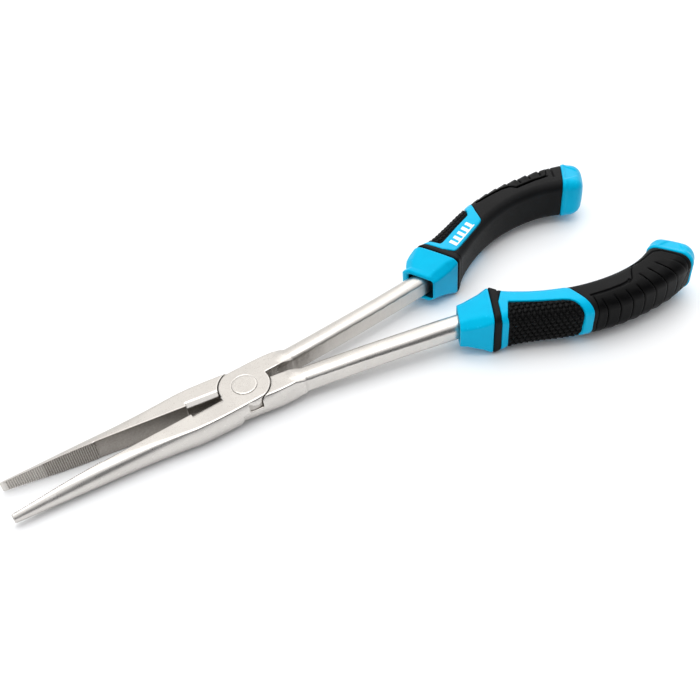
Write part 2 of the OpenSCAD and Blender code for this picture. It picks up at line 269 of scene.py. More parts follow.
class Shader:
    """A principled material whose textures are measured in object millimetres."""

    def __init__(self, name):
        self.material = bpy.data.materials.new(name)
        self.material.use_nodes = True
        self.tree = self.material.node_tree
        self.bsdf = next(n for n in self.tree.nodes if n.type == "BSDF_PRINCIPLED")
        place = self.node("ShaderNodeTexCoord").outputs["Object"]
        self.place = self.node("ShaderNodeVectorMath", {0: place, "Scale": 1000.0},
                               operation="SCALE").outputs[0]

    def node(self, kind, inputs={}, **settings):
        return add_node(self.tree, kind, inputs, **settings)

    def set(self, **values):
        for key, value in values.items():
            self.bsdf.inputs[key.replace("_", " ")].default_value = value

    def link(self, source, name):
        self.tree.links.new(source, self.bsdf.inputs[name])

    def stretch(self, *factors):
        return self.node("ShaderNodeVectorMath", {0: self.place, 1: factors},
                         operation="MULTIPLY").outputs[0]

    def noise(self, scale, detail=3.0, roughness=0.55, place=None):
        return self.node("ShaderNodeTexNoise", {
            "Scale": scale, "Detail": detail, "Roughness": roughness,
            "Vector": place or self.place}).outputs["Fac"]

    def voronoi(self, scale):
        return self.node("ShaderNodeTexVoronoi",
                         {"Scale": scale, "Vector": self.place}).outputs["Distance"]

    def remap(self, source, between=(0.3, 0.7), to=(0, 1)):
        return self.node("ShaderNodeMapRange", {
            "From Min": between[0], "From Max": between[1],
            "To Min": to[0], "To Max": to[1], "Value": source}).outputs["Result"]

    def mix(self, factor, first, second):
        colours = [(*c, 1.0) if isinstance(c, tuple) else c for c in (first, second)]
        return self.node("ShaderNodeMix", {0: factor, 6: colours[0], 7: colours[1]},
                         data_type="RGBA").outputs[2]

    def math(self, operation, first, second):
        return self.node("ShaderNodeMath", {0: first, 1: second}, operation=operation).outputs[0]

    def bump(self, height, depth, strength, under=None):
        """Bump of a depth in mm, over another bump if one is given."""
        inputs = {"Strength": strength, "Distance": depth * MM, "Height": height}
        if under is not None:
            inputs["Normal"] = under
        return self.node("ShaderNodeBump", inputs).outputs["Normal"]

    def edge(self):
        """Where the surface turns sharply outwards, 0..1 (0.5 is flat)."""
        return self.node("ShaderNodeNewGeometry").outputs["Pointiness"]

    # per-vertex value: duller finish and painted shade
    def dull_and_shade(self):
        return self.node("ShaderNodeAttribute", attribute_name="dull_and_shade").outputs["Fac"]


def grey(tone, *factors):
    return tuple(tone * factor for factor in factors)


def steel(name, tone, roughness):
    """Brushed plated steel, darker and duller where marked: duller ground faces, and painted shade
    in recesses and gaps.
    """
    shader = Shader(name)
    shader.set(Metallic=1.0)
    dull_and_shade = shader.dull_and_shade()
    brushed = shader.noise(scale=1.0, roughness=0.6, place=shader.stretch(0.35, 5.0, 5.0))
    colour = shader.mix(shader.remap(shader.noise(scale=0.09, detail=4.0)),
                        grey(tone, 0.625, 0.60, 0.57), grey(tone, 0.69, 0.664, 0.63))
    worn = shader.remap(shader.edge(), between=(0.54, 0.62), to=(0.0, 0.35))
    colour = shader.mix(worn, colour, (0.92, 0.895, 0.86))
    # painted shade: mottled dark brown where the per-vertex value is high
    mottle = shader.remap(shader.noise(scale=1.3, detail=4.0, roughness=0.65), to=(0.75, 1.1))
    colour = shader.mix(shader.math("MULTIPLY", dull_and_shade, mottle), colour, (0.23, 0.205, 0.18))
    shader.link(colour, "Base Color")
    fine = shader.noise(scale=2.2, detail=4.0)
    rough = shader.math("ADD", shader.remap(fine, to=(roughness - 0.045, roughness + 0.05)),
                        shader.remap(brushed, to=(-0.02, 0.04)))
    rough = shader.math("ADD", rough, shader.math("MULTIPLY", dull_and_shade, 0.16))
    shader.link(rough, "Roughness")
    normal = shader.bump(shader.noise(scale=5.5, detail=2.0), depth=0.006, strength=0.5)
    normal = shader.bump(brushed, depth=0.006, strength=0.5, under=normal)
    waves = shader.noise(scale=0.25, detail=2.0)
    shader.link(shader.bump(waves, depth=0.05, strength=0.25, under=normal), "Normal")
    return shader.material


def plastic(name, lit, deep, roughness, grain, specular=0.4, tint=(1.0, 1.0, 1.0)):
    """Cloudy plastic with paler edges; grain is its bump depth in mm."""
    shader = Shader(name)
    cloud = shader.remap(shader.noise(scale=0.12), between=(0.35, 0.65))
    colour = shader.mix(cloud, deep, lit)
    worn = shader.remap(shader.edge(), between=(0.51, 0.6), to=(0.0, 0.35))
    colour = shader.mix(worn, colour, tuple(min(1.0, v * 1.25 + 0.02) for v in lit))
    # painted shade: near-black where the per-vertex value is set, inside the collar mouth
    colour = shader.mix(shader.dull_and_shade(), colour, (0.004, 0.005, 0.006))
    shader.link(colour, "Base Color")
    rough = shader.remap(shader.noise(scale=3.0), to=(roughness - 0.05, roughness + 0.06))
    shader.link(rough, "Roughness")
    normal = shader.bump(shader.noise(scale=0.35, detail=2.0), depth=0.03, strength=0.2)
    normal = shader.bump(shader.noise(scale=4.0, detail=2.0), grain, strength=0.4, under=normal)
    shader.link(normal, "Normal")
    shader.set(Coat_Weight=0.0, Coat_Roughness=0.2, Specular_IOR_Level=specular,
               Specular_Tint=(*tint, 1.0))
    return shader.material


def rubber(name, tone, roughness, grain, specular, scale=3.4):
    """Pebbled rubber with dust and paler edges; grain is its bump depth in mm."""
    shader = Shader(name)
    shader.set(Specular_IOR_Level=specular)
    cloud = shader.remap(shader.noise(scale=0.18, detail=4.0), between=(0.35, 0.65))
    colour = shader.mix(cloud, grey(tone, 0.85, 0.85, 0.9), grey(tone, 1.15, 1.15, 1.25))
    dust = shader.noise(scale=1.1, detail=5.0, roughness=0.7)
    dust = shader.remap(dust, between=(0.62, 0.8), to=(0, 0.25))
    colour = shader.mix(dust, colour, grey(tone, 2.2, 2.2, 2.3))
    worn = shader.remap(shader.edge(), between=(0.51, 0.58), to=(0.0, 0.5))
    colour = shader.mix(worn, colour, grey(tone, 2.0, 2.0, 2.15))
    shader.link(colour, "Base Color")
    rough = shader.remap(shader.noise(scale=1.6), to=(roughness - 0.05, roughness + 0.07))
    shader.link(rough, "Roughness")
    normal = shader.bump(shader.noise(scale=0.5, detail=2.0), depth=0.04, strength=0.25)
    normal = shader.bump(shader.voronoi(scale), grain, strength=0.55, under=normal)
    shader.link(normal, "Normal")
    return shader.material


STEEL = steel("satin_nickel_steel", tone=1.0, roughness=0.3)
RIVET = steel("ground_rivet_steel", tone=1.01, roughness=0.29)
CYAN = plastic("cyan_satin_plastic", lit=(0.0, 0.465, 0.745), deep=(0.0, 0.425, 0.705),
               roughness=0.36, grain=0.004, specular=0.42, tint=(0.06, 0.8, 1.0))
BLACK = rubber("black_soft_rubber", tone=0.0045, roughness=0.5, grain=0.012, specular=0.12)
PAD_RUBBER = rubber("scale_pad_rubber", tone=0.0015, roughness=0.38, grain=0.008,
                    specular=0.1, scale=4.0)
RIB_RUBBER = rubber("rib_pad_rubber", tone=0.002, roughness=0.42, grain=0.012, specular=0.09)
CORE = plastic("core_grey_plastic", lit=(0.05, 0.05, 0.055), deep=(0.035, 0.035, 0.04),
               roughness=0.5, grain=0.01)
WHITE = plastic("white_mark_print", lit=(0.9, 0.92, 0.94), deep=(0.84, 0.87, 0.9),
                roughness=0.45, grain=0.003)

# ---------------------------------------------------------------- forged levers
SEAM = 0.02  # gap from the middle plane to a jaw face
CUTTER_START, CUTTER_END, TEETH_START, TIP = 10.2, 22.7, 56.0, 92.0
TOOTH_PITCH, TOOTH_DEPTH = 0.8, 0.34
# the turned nose: x, radius
NOSE_X, NOSE_R = np.array([
    (-24, 8.9), (-20, 9.1), (-15.5, 9.7), (-11, 10.1), (-6, 10.15), (0, 10.15), (6, 10.15),
    (12, 10.1), (18, 9.9), (24, 9.45), (30, 8.5), (35, 7.75), (40, 7.05), (50, 5.95),
    (60, 5.05), (70, 4.15), (80, 3.2), (90.4, 2.3), (92, 2.05)]).T


def nose_radius(x):
    """The turned profile with its corners eased."""
    before, here, after = (np.interp(x + shift, NOSE_X, NOSE_R) for shift in (-1.5, 0, 1.5))
    return (before + 2 * here + after) / 4


def rod_offset(x, y, swing):
    """Y distance from the rod's centre line, a gentle bow of radius 1300."""
    cos, sin = math.cos(swing), math.sin(swing)
    back = np.maximum(-13.0 - (x * cos - y * sin), -30.0)
    return x * sin + y * cos + (4.3 + 0.0262 * back + back * back / 2600.0)


def jaw_plan(x, y, z):
    """Jaw on +Y: a wedge-edged cutter, then a relieved face, then teeth up to the tip."""
    height = np.abs(z)
    saw = np.abs(((x - TEETH_START) / TOOTH_PITCH) % 1.0 - 0.5) * 2.0
    relief_end = 57.2 + 0.06 * z * z
    teeth = np.where(x > TIP - 1.8, 0.0, TOOTH_DEPTH * saw)
    relief = 0.42 * ramp(x - CUTTER_END, 0.15) * ramp(relief_end - x, 0.5)
    face = SEAM + np.where(x > relief_end, teeth, relief)
    jaw = soft_max(face - y, 3.5 - x, 0.3)
    bevels = np.maximum(0.09 + (height - 0.15) * 0.1, 0.4 + (height - 3.2) * 1.3)
    wedge = -np.maximum(-(bevels - y) * 0.7, np.maximum(CUTTER_START - x, x - CUTTER_END))
    return soft_max(jaw, wedge, 0.16)


def rod_field(x, y, z, swing):
    """Rod on -Y, trimmed flat on both sides with a rough line, rougher near its root."""
    offset = rod_offset(x, y, swing)
    radius = 4.5 - 0.1 * ramp(x + 30, 14.0)
    rough = lumps(x * 1.3, y * 1.3, z * 1.3) * (0.015 + 0.05 * ramp(x + 40, 20.0))
    burr = lumps(x * 0.55, 3.1 + y * 0.0, 1.7 + z * 0.0)
    burr = burr + 0.5 * lumps(x * 1.9, 1.2 + y * 0.0, z * 0.0)
    power = 2.3  # a slightly squared circle
    rod = (np.abs(offset) ** power
           + np.abs(z * (1 + 0.012 * np.cos(0.2 * x))) ** power) ** (1 / power) - radius
    rod = soft_max(rod, (offset - 3.5 - 0.09 * burr + rough) * 0.98, 0.16)
    outer_flat = np.interp(x, [-92, -75, -50, -20], [4.6, 4.32, 4.05, 3.7])
    rod = soft_max(rod, -offset - outer_flat - 0.05 * burr, 0.22)
    return soft_max(soft_max(rod, x + 15.2, 1.8), -93.0 - x, 0.8)


def forging(upper_radius, lower_recess, swing):
    """Field of a lever: its joint disc is cut to one radius above, the other half's below."""
    def field(x, y, z):
        height = np.abs(z)
        radius = np.hypot(x, y)
        jaw = jaw_plan(x, y, z)
        shoulder = soft_max(y + 0.9, soft_max(x + 3.5, -21.0 - x, 0.3), 0.4)
        lower = soft_max(np.minimum(jaw, shoulder), lower_recess - radius, 0.16)
        upper = np.minimum(np.minimum(radius - upper_radius, jaw), shoulder)
        plan = np.minimum(lower, np.maximum(upper, 0.03 - z))
        nose = np.hypot(y, z) - nose_radius(x)
        side = np.abs(y) - np.interp(x, [-24, -20, -15, -9, -4], [8.2, 8.4, 9.1, 9.8, 10.4])
        edge = np.interp(x, [-24, 5, 20, 34, 50, 70, 91], [0.5, 0.45, 0.5, 0.9, 1.6, 1.4, 1.0])
        block = soft_max(soft_max(nose, side, 0.4), height - HALF_THICK, edge)
        block = soft_max(block, plan, 0.32)
        # run-out of the ground flat towards the rod
        run_out = height - (HALF_THICK - ramp(-17.2 - x, 4.0) * 1.5)
        block = soft_max(block, run_out, 0.5)
        block = soft_max(block, x - TIP, 0.45)
        body = soft_min(block, rod_field(x, y, z, swing), 0.3 + 1.1 * ramp(-15.0 - x, 4.0))
        # rivet hole, countersunk for the flush head
        sink = HOLE_R + ramp(z - (HALF_THICK - 1.9), 1.5) * (HEAD_R - HOLE_R)
        hole = radius - (np.where(z > HALF_THICK - 0.4, HEAD_R, sink) + 0.035)
        hole = hole - 0.10 * ramp(z - HALF_THICK + 0.14, 0.14)
        return soft_max(body, -hole, 0.05)
    return field


def lever_dull_and_shade(verts, swing):
    """How dull the plating is and where shade is painted: relief, tooth valleys, inner side of the
    rod, lap, cutter.
    """
    x, y, z = verts.T
    radius = np.hypot(x, y)
    teeth_end = TEETH_START + 1.2
    # relief face between cutter and teeth: dull ground finish, plus painted shade between the jaws
    dull_and_shade = np.where((x > CUTTER_END + 0.1) & (x < teeth_end) & (y < 0.9), 0.72, 0.0)
    # toothed face: dull, with painted shade deepening into the tooth valleys, weaker near the tip
    teeth = ramp(y - 0.02, 0.3) * 0.5 + np.where(x < 76.5, 0.44, 0.16)
    dull_and_shade = np.where((x >= teeth_end) & (x < TIP - 1.2) & (y < 0.45), teeth, dull_and_shade)
    # trimmed inner side of the rod: rougher flash, plus painted shade for the shadowed floor it
    # reflects, most at the root
    root = np.clip(1 - np.abs(x + 26) / 12, 0, 1)
    trimmed = (x < -15) & (rod_offset(x, y, swing) > 2.7)
    dull_and_shade = np.maximum(dull_and_shade, np.where(trimmed, 0.22 + 0.4 * root, 0.0))
    # lap faces in the joint recess: painted shade
    inside = np.hypot(y, z) < nose_radius(x) - 0.3
    lap = ((radius < 12.2) & (z < HALF_THICK - 0.5) & (z > -0.6) & inside
           & ((x < 3.4) | (y < 0) | (radius < 11.9)))
    dull_and_shade = np.maximum(dull_and_shade, np.where(lap, 0.45, 0.0))
    # cutter face below the cutting edge: painted shade of the dark gap
    cutter = ((x > CUTTER_START + 0.1) & (x < CUTTER_END - 0.1)
              & (y < 0.5) & (y > -0.4) & (np.abs(z) < 3.1))
    return np.maximum(dull_and_shade, np.where(cutter, 0.9, 0.0))


# grip sections from collar to cap: x, y, heading in degrees, half width, half height,
# corner radius on the inner side, corner radius on the outer side
STATIONS = np.array([
    [-99.8, 11.5, 23, 10.1, 9.8, 2.0, 2.2],
    [-102.9, 12.8, 23, 9.3, 9.3, 3.0, 3.2],
    [-108.0, 15.0, 23, 8.4, 8.8, 3.6, 4.4],
    [-117.0, 18.9, 22, 7.7, 8.6, 3.7, 4.8],
    [-128.0, 23.0, 17, 7.5, 8.8, 3.7, 5.2],
    [-138.5, 25.6, 9, 7.5, 9.1, 3.7, 5.4],
    [-150.0, 26.6, -1, 7.5, 9.3, 3.7, 5.4],
    [-161.0, 25.9, -12, 7.7, 9.3, 3.7, 5.2],
    [-170.0, 24.2, -25, 8.3, 9.4, 3.7, 5.2],
    [-178.4, 21.3, -38, 9.2, 9.6, 3.7, 5.8]])
X, Y, HEADING, HALF_W, HALF_H, INNER_R, OUTER_R = range(7)
LAST = len(STATIONS) - 1


def station_at(position):
    """Section at a fractional station number, on a Catmull-Rom curve."""
    position = np.asarray(position, float)
    i = np.clip(np.floor(position), 0, LAST - 1).astype(int)
    t = (position - i)[..., None]
    before, start, end, after = (STATIONS[np.clip(i + k, 0, LAST)] for k in (-1, 0, 1, 2))
    return 0.5 * (2 * start + (end - before) * t
                  + (2 * before - 5 * start + 4 * end - after) * t * t
                  + (3 * start - before - 3 * end + after) * t ** 3)


def tang_bar():
    """Eight-sided bar from the rod through the grip, on -Y."""
    # across, z
    outline = ((2.6, 2.4), (2.0, 3.0), (-2.0, 3.0), (-2.6, 2.4),
               (-2.6, -2.4), (-2.0, -3.0), (2.0, -3.0), (2.6, -2.4))
    # x, y, heading in degrees
    rows = [(-88, 8.5, 10.0), (-94, 9.9, 18.0)]
    rows += [station_at(position)[:3] for position in np.arange(0.4, 8.21, 0.3)]
    verts = []
    for x, y, heading in rows:
        sin, cos = math.sin(math.radians(heading)), math.cos(math.radians(heading))
        verts += [[x + across * sin, -(y + across * cos), z] for across, z in outline]
    sides = len(outline)
    faces = tube_faces(len(rows), sides)
    end = (len(rows) - 1) * sides
    for i in range(1, sides - 1):
        faces += [[0, i + 1, i], [end, end + i, end + i + 1]]
    return np.array(verts), np.array(faces)


def add_lever(side, upper_radius, lower_recess, swing, angle, flip):
    tooth_step = 0.1 if COARSE == 1 else 0.16
    verts, quads = skin(
        forging(upper_radius, lower_recess, swing),
        spans((-94.2, -36, 0.6), (-36, 24, 0.26), (24, 55.6, 0.36), (55.6, 92.5, tooth_step)),
        spans((-14.2, -10.6, 0.4), (-10.6, 10.7, 0.25)),
        spans((-5.1, 5.1, 0.25)))
    tang_verts, tang_faces = tang_bar()
    faces = [quads[:, [0, 1, 2]], quads[:, [0, 2, 3]], tang_faces + len(verts)]
    placed = [turn(verts, angle, flip), turn(tang_verts, angle - swing, flip)]
    add_piece(f"forged_lever_{side}", np.concatenate(placed), np.concatenate(faces), STEEL,
              f"{side}_half", f"lever_{side}",
              dull_and_shade=np.pad(lever_dull_and_shade(verts, swing), (0, len(tang_verts))))


add_lever("right", upper_radius=9.7, lower_recess=11.8, swing=SET,
          angle=HALF_OPEN, flip=UPRIGHT)
add_lever("left", upper_radius=11.4, lower_recess=10.1, swing=0.0,
          angle=-HALF_OPEN, flip=FLIPPED)


# ---------------------------------------------------------------- rivet
def add_rivet(segments=96):
    top = HALF_THICK
    # radius, z of the upper half, from the shank's middle to the head's centre
    upper = [(3.32, 0.0), (3.32, top - 1.86), (HEAD_R - 0.06, top - 0.36),
             (HEAD_R, top - 0.3), (HEAD_R, top - 0.12), (HEAD_R - 0.05, top - 0.04),
             (HEAD_R - 0.14, top), (HEAD_R - 0.9, top - 0.012), (2.6, top - 0.03),
             (1.2, top - 0.035), (0.3, top - 0.035)]
    profile = [(radius, -z) for radius, z in upper[:0:-1]] + upper
    angles = np.linspace(0, 2 * math.pi, segments, endpoint=False)
    verts = [[radius * math.cos(angle), radius * math.sin(angle), z]
             for radius, z in profile for angle in angles]
    bottom_centre = len(verts)
    verts += [[0, 0, profile[0][1]], [0, 0, profile[-1][1]]]
    faces = tube_faces(len(profile), segments)
    last_ring = (len(profile) - 1) * segments
    for i in range(segments):
        j = (i + 1) % segments
        faces += [[bottom_centre, j, i], [bottom_centre + 1, last_ring + i, last_ring + j]]
    add_piece("pivot_rivet_flush", turn(np.array(verts), 0.0), np.array(faces), RIVET,
              "right_half", "pivot_rivet")


add_rivet()

# ---------------------------------------------------------------- grips, drawn on +Y
# Grip fields take `along` (distance down the grip's centre line), `out` (across it, positive
# on the outer side) and z. The right grip is the same moulding turned over.
TABLE_POSITIONS = np.linspace(0, LAST, 901)
_centres = station_at(TABLE_POSITIONS)[:, :2]
TABLE_ALONG = np.concatenate([[0], np.cumsum(np.hypot(*np.diff(_centres, axis=0).T))])
GRIP_LEN = TABLE_ALONG[-1]

# Plan outlines and lines (x, y), each on the upper half of the moulding, then the lower half.
PANEL = (
    [(-106.9, 7.0), (-102.4, 12.4), (-99.0, 20.6), (-98.5, 42), (-134.8, 42), (-134.3, 34),
     (-133.8, 31.8), (-132.8, 28), (-131.9, 23.5), (-130.9, 19), (-129.7, 16.8),
     (-127.6, 15.9), (-121.6, 13.6), (-112.0, 9.2)],
    [(-106.2, 8.3), (-102.8, 11.9), (-99.1, 20.4), (-98.5, 42), (-134.8, 42), (-134.2, 34),
     (-133.6, 31.6), (-132.0, 28), (-130.5, 24), (-129.2, 19.6), (-128.6, 17.9),
     (-127.2, 17.0), (-118.9, 13.5), (-109.3, 9.1), (-107.4, 8.3)])
PAD = (
    [(-106.4, 13.9), (-105.8, 14.2), (-101.7, 20.6), (-101.2, 44), (-130.8, 44), (-130.6, 33),
     (-130.2, 31), (-129.4, 28.6), (-128.4, 26.2), (-127.2, 24.6), (-125.2, 23.2),
     (-114.3, 17.9)],
    [(-105.4, 15.6), (-104.4, 15.6), (-101.7, 20.6), (-101.2, 44), (-130.7, 44), (-130.5, 33),
     (-129.9, 31), (-128.6, 28.6), (-127.3, 25.9), (-125.9, 23.8), (-117.1, 20.6),
     (-107.8, 16.6)])
RIBS = (
    [(-135.8, 27.6), (-143.5, 28.5), (-149.2, 28.7), (-152.8, 28.3), (-154.8, 27.0),
     (-157.6, 22.8), (-159.8, 20.6), (-164.0, 20.4), (-172.0, 18.2), (-174.8, 19.4),
     (-178.5, 24.5), (-181.4, 29.2), (-185, 42), (-135.6, 42)],
    [(-135.4, 29.0), (-138.0, 29.2), (-143.4, 29.4), (-149.2, 29.4), (-153.4, 28.6),
     (-154.8, 27.2), (-155.7, 25.9), (-157.4, 25.9), (-164.7, 25.3), (-169.2, 24.3),
     (-171.2, 24.0), (-172.2, 24.8), (-175.2, 28.6), (-180.6, 31.5), (-185, 42),
     (-135.6, 42)])
RIB_ZONE = (
    [(-136.8, 30.0), (-144.5, 30.7), (-149.8, 30.7), (-155.2, 30.2), (-157.2, 26.4),
     (-164.2, 24.9), (-169.1, 23.4), (-172.6, 23.4), (-176.4, 27.0), (-181, 31), (-185, 42),
     (-136.4, 42)],
    [(-136.0, 29.8), (-144.5, 30.2), (-149.8, 30.1), (-154.6, 28.6), (-156.0, 26.7),
     (-164.7, 26.1), (-170.8, 24.9), (-174.6, 28.8), (-180.2, 32), (-185, 42), (-136.4, 42)])
FRONT_GROOVE = (
    [(-135.6, 26.8), (-143.5, 27.8), (-149.2, 28.0), (-152.4, 27.6), (-153.6, 26.8)],
    [(-135.0, 28.5), (-143.4, 28.9), (-149.2, 28.9), (-153.2, 28.1), (-154.5, 26.8),
     (-155.5, 25.4), (-157.4, 25.3), (-164.7, 24.7), (-171.4, 23.3)])
REAR_GROOVE = (
    [(-159.6, 20.2), (-164, 20.0), (-172.0, 17.7), (-175.1, 18.9), (-179.0, 24.2),
     (-182.0, 29.0)],
    [(-173.3, 21.0), (-175.7, 25.2), (-178.6, 29.6), (-180.0, 31.6)])


def blended(outlines, x, y, z):
    """Outline distance, blended from lower to upper across the middle of the moulding."""
    share = ramp(z + 2.0, 4.0)
    upper, lower = outlines
    return outline_distance(x, y, lower) * (1 - share) + outline_distance(x, y, upper) * share


def to_plan(along, out):
    """Plan x, y and section row; the centre line runs on straight beyond both ends."""
    along = np.asarray(along, float)
    row = station_at(np.interp(along, TABLE_ALONG, TABLE_POSITIONS))
    heading = np.radians(row[..., HEADING])
    over = np.where(along < 0, along, np.where(along > GRIP_LEN, along - GRIP_LEN, 0.0))
    cos, sin = np.cos(heading), np.sin(heading)
    return row[..., X] - cos * over + out * sin, row[..., Y] + sin * over + out * cos, row


def section(out, z, half_width, half_height, inner_r, outer_r):
    """Crowned rounded box whose corner radius changes from the inner to the outer side."""
    share = np.clip(out / 4.0 + 0.5, 0, 1)
    radius = inner_r + (outer_r - inner_r) * share * share * (3 - 2 * share)
    crown = 1 - 0.04 * np.clip(out / half_width, -1.2, 1.2) ** 2
    return rounded_box(out, z / crown, half_width, half_height, radius)


def locate(along, out, z):
    x, y, row = to_plan(along, out)
    base = section(out, z, *(row[..., column] for column in (HALF_W, HALF_H, INNER_R, OUTER_R)))
    return x, y, row, base


def warp(points):
    x, y, _ = to_plan(points[:, 0], points[:, 1])
    return np.stack([x, y, points[:, 2]], 1)


def shell_field(along, out, z):
    """Grip body with a front ring, beds for the panel and rib pad, and face grooves."""
    x, y, _, base = locate(along, out, z)
    ring = (0.22 * (1 - ramp(along - 3.2, 0.4)) - 0.35 * hump(along - 3.5, 0.35)
            - 0.25 * hump(along - 0.2, 0.4))
    shell = base - ring
    panel, ribs = blended(PANEL, x, y, z), blended(RIBS, x, y, z)
    shell = soft_max(shell, soft_min(-(panel - 0.12), base + 1.5, 0.3), 0.3)
    shell = soft_max(shell, soft_min(-(ribs - 0.1), base + 1.35, 0.3), 0.35)
    # upper and lower line, half width, depth
    for (upper, lower), half_width, depth in ((FRONT_GROOVE, 0.52, 0.9),
                                              (REAR_GROOVE, 0.34, 0.6)):
        line = np.where(z > 0, line_distance(x, y, upper), line_distance(x, y, lower))
        groove = np.maximum(np.maximum(line - half_width, 4 - np.abs(z)), -(base + depth))
        shell = soft_max(shell, -groove, 0.22)
    return soft_max(shell, np.maximum(0.06 - along, along - (GRIP_LEN - 0.03)), 0.5)


def frame_field(along, out, z):
    """Raised panel with an opening for the scale pad."""
    x, y, _, base = locate(along, out, z)
    panel = soft_max(base - 0.28, blended(PANEL, x, y, z), 0.5)
    panel = soft_max(panel, -(blended(PAD, x, y, z) - 0.06), 0.4)
    return soft_max(panel, -(base + 1.4), 0.3)


def scales(along, around, pitch_along, pitch_around):
    """Staggered rows of overlapping domed discs, each higher on one side."""
    height = 0
    for shift in (0, 0.5):
        a = (along / pitch_along + shift) % 1.0 - 0.5
        b = (around / (2 * pitch_around) + shift) % 1.0 - 0.5
        radius = np.hypot(a * pitch_along / 1.05, b * 2 * pitch_around / 1.05)
        dome = np.clip(1.15 - radius ** 3 * 1.15, 0, 1) * (0.85 + 0.4 * a)
        height = np.maximum(height, dome)
    return height


def pad_field(along, out, z):
    """Scale pad set in the panel, with a plain rim."""
    x, y, row, base = locate(along, out, z)
    pad = blended(PAD, x, y, z)
    # distance round the outer half of the section, 0 on the outer middle
    radius, height = row[..., OUTER_R], np.abs(z)
    flat_z, flat_out = row[..., HALF_H] - radius, row[..., HALF_W] - radius
    angle = np.arctan2(np.maximum(height - flat_z, 0), np.maximum(out - flat_out, 1e-6))
    around = np.sign(z) * (np.minimum(height, flat_z) + radius * angle
                           + np.maximum(flat_out - out, 0))
    rim = ramp(-pad - 0.35, 0.6)
    relief = -0.42 + 0.85 * scales(along, around, 2.25, 1.95) * rim + 0.15 * (1 - rim)
    pad = soft_max((base - relief) * 0.9, pad + 0.05, 0.3)
    return soft_max(pad, -(base + 1.3), 0.3)


RIB_START, RIB_PITCH = 38.6, 5.1


def rib_field(along, out, z):
    """Rib pad: bowed saw-tooth ribs with a fine groove between them."""
    x, y, _, base = locate(along, out, z)
    zone = blended(RIB_ZONE, x, y, z)
    rib = (along + 0.027 * z * z - RIB_START) / RIB_PITCH
    phase = rib % 1.0
    groove = np.clip(0.2 - zone, 0, 1) * (rib > -0.5)
    saw = ramp(-zone, 3.0) * (rib > -0.5)
    relief = (0.08 + saw * (0.62 * phase ** 1.4 - 0.34)
              - groove * 0.8 * hump(((phase + 0.5) % 1.0 - 0.5) * RIB_PITCH, 0.36))
    pad = soft_max((base - relief) * 0.92, blended(RIBS, x, y, z) + 0.06, 0.4)
    return soft_max(pad, -(base + 1.3), 0.3)


def in_plan(verts, origin, axis):
    """Verts given as (along the axis, out from it, z), set in the plan."""
    side = np.array([axis[1], -axis[0]])
    flat = origin + verts[:, :1] * axis + verts[:, 1:2] * side
    return np.column_stack([flat, verts[:, 2]])


CAP_AXIS = np.array([-0.788, -0.616])
CAP_LEN = 9.9


def cap_field(along, out, z):
    """Domed, slightly tapered end cap."""
    lip = 0.3 * hump(along - 1.2, 0.9)
    taper = 0.02 * np.maximum(along - 2, 0) ** 1.8
    half_width, half_height = (STATIONS[LAST][column] + lip + 0.12 - taper
                               for column in (HALF_W, HALF_H))
    cap = section(out, z, half_width, half_height, 3.9, 5.6)
    cap = soft_max(cap, along - CAP_LEN + 0.009 * out * out + 0.009 * z * z, 4.6)
    cap = soft_max(cap, 0.03 - along, 0.4)
    # shallow rounded-triangle dimple in the top and bottom
    back = along - 2.6
    triangle = np.maximum(np.maximum(-back, 0.5 * back + 0.866 * (out - 2.1)),
                          0.5 * back - 0.866 * (out + 2.8)) - 1.6
    return soft_max(cap, -soft_max(triangle, (half_height - 0.45) - np.abs(z), 0.6), 0.5)


def cap_mesh():
    verts, faces = skin(cap_field, spans((-0.4, CAP_LEN + 0.6, 0.28)),
                        spans((-10.3, 10.3, 0.28)), spans((-10.7, 10.7, 0.28)))
    return in_plan(verts, STATIONS[LAST][:2], CAP_AXIS), faces


COLLAR_HEADING = math.radians(23)
COLLAR_MOUTH = np.array([-87.2, 7.65])
COLLAR_AXIS = np.array([-math.cos(COLLAR_HEADING), math.sin(COLLAR_HEADING)])


